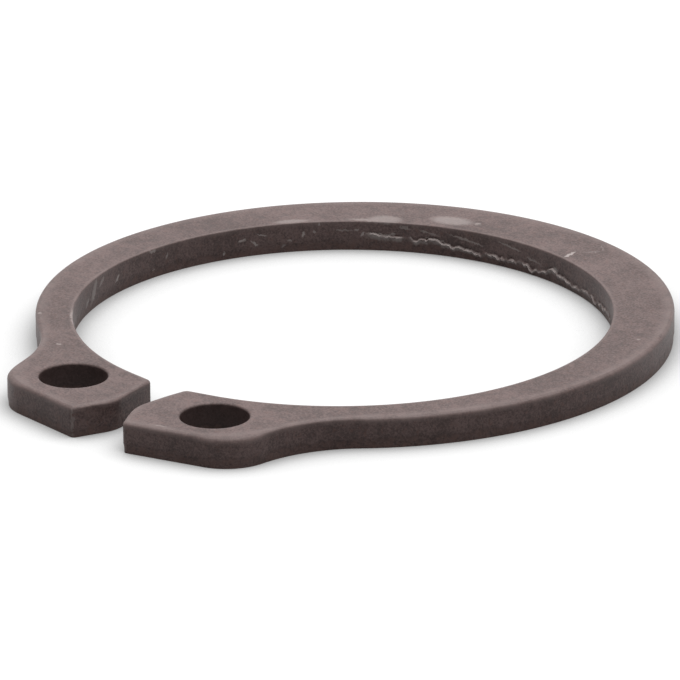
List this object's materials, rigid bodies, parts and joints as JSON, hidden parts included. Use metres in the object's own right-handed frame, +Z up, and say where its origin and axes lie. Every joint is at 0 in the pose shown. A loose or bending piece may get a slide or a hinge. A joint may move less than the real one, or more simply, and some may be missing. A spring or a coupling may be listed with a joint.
{
  "type": "external retaining ring",
  "caption": "Flat, open spring steel ring that snaps into a groove round a shaft, widest opposite its gap, with a pierced lug for pliers on each side of the gap.",
  "frame": {"origin": "centre of the bore in the plane of the lower face, the torn side of the blanked edge", "axes": "+Z up along the bore axis towards the rolled-over side, -Y through the middle of the gap, +Y through the widest part of the band, +X across the gap"},
  "size_m": [0.0242, 0.0272, 0.0012],
  "materials": {
    "phosphated_steel": "matt dark brown-grey phosphate coat on blanked spring steel"
  },
  "bodies": {
    "root": {"retaining_ring": "phosphated_steel"}
  },
  "joints": []
}
